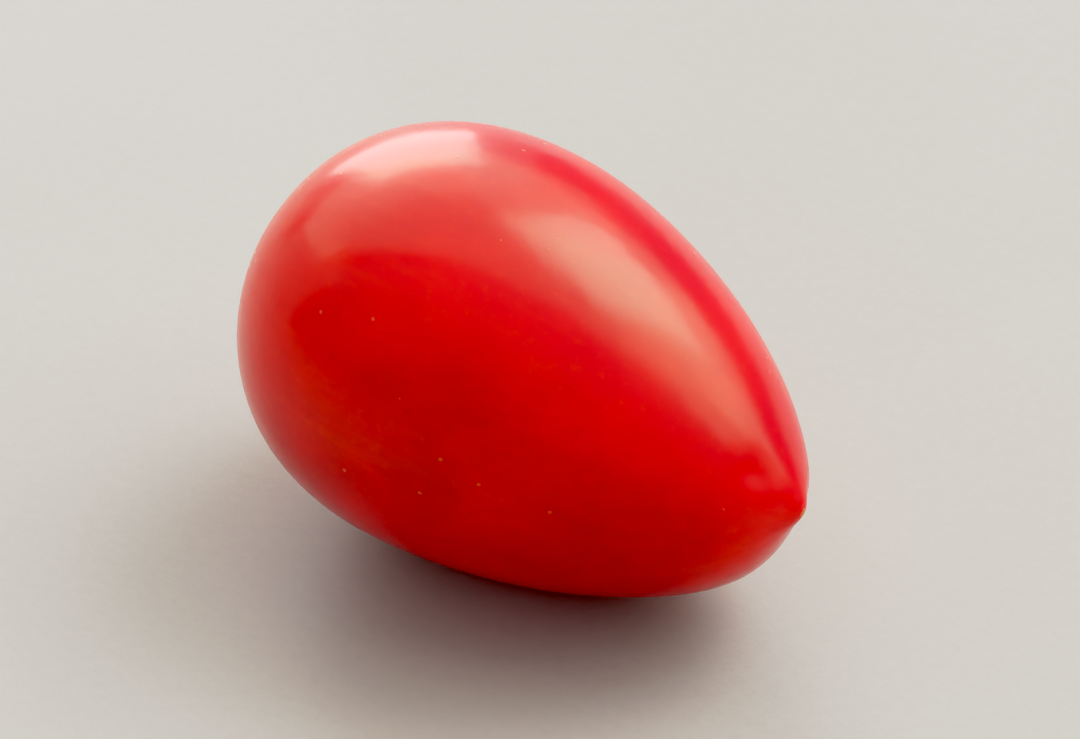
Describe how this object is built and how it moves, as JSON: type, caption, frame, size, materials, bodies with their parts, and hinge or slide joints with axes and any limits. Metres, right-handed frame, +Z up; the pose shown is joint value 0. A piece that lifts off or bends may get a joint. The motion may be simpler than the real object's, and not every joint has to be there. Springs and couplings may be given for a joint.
{
  "type": "cherry tomato",
  "caption": "Ripe plum-shaped cherry tomato, picked without its calyx, lying on its side on a small flat spot, for food displays and kitchen scenes.",
  "frame": {"origin": "on the surface it lies on, under the middle of the fruit", "axes": "+X from the stem end to the blossom end, +Y across the fruit, +Z up from the surface it lies on"},
  "size_m": [0.033, 0.0228, 0.0223],
  "materials": {
    "skin": "smooth waxy tomato skin, deep ripe red, lighter and more orange round the corky stem scar"
  },
  "bodies": {
    "root": {"tomato": "skin"}
  },
  "joints": []
}
